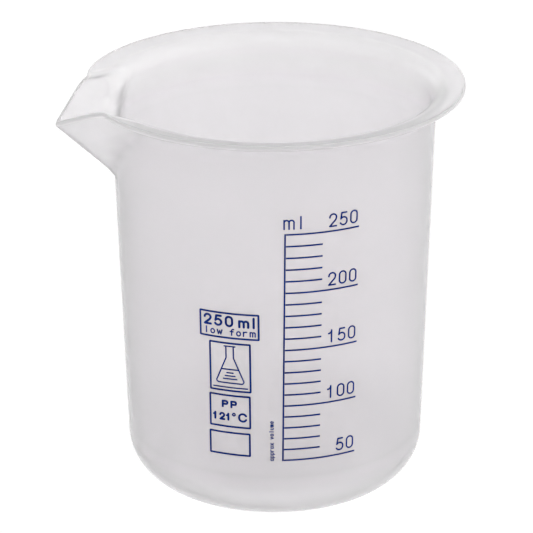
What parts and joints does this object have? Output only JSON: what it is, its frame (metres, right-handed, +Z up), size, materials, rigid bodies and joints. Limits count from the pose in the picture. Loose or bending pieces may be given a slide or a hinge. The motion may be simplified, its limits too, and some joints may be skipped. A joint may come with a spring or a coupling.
{
  "type": "beaker",
  "caption": "Low-form laboratory beaker of translucent polypropylene with a flared rim, a V-shaped pouring spout and a volume scale printed on its wall.",
  "frame": {"origin": "the point of the standing plane on the vessel's axis", "axes": "+Z up along the vessel's axis, the pouring spout points along -X, the printed scale faces -Y"},
  "size_m": [0.0927, 0.0862, 0.095],
  "materials": {
    "translucent_plastic": "milky, satin",
    "printed_ink": "screen-printed, matte"
  },
  "bodies": {
    "root": {"beaker_vessel": "translucent_plastic", "capacity_panel_frame": "printed_ink", "capacity_panel_text": "printed_ink", "flask_pictogram": "printed_ink", "graduation_line_100": "printed_ink", "graduation_line_150": "printed_ink", "graduation_line_200": "printed_ink", "graduation_line_250": "printed_ink", "graduation_line_50": "printed_ink", "material_panel_frame": "printed_ink", "minor_graduation_ticks": "printed_ink", "numeral_100": "printed_ink", "numeral_150": "printed_ink", "numeral_200": "printed_ink", "numeral_250": "printed_ink", "numeral_50": "printed_ink", "pictogram_panel_frame": "printed_ink", "resin_code": "printed_ink", "scale_spine": "printed_ink", "temperature_mark": "printed_ink", "unit_mark_ml": "printed_ink", "volume_note": "printed_ink", "write_on_panel_frame": "printed_ink"}
  },
  "joints": []
}
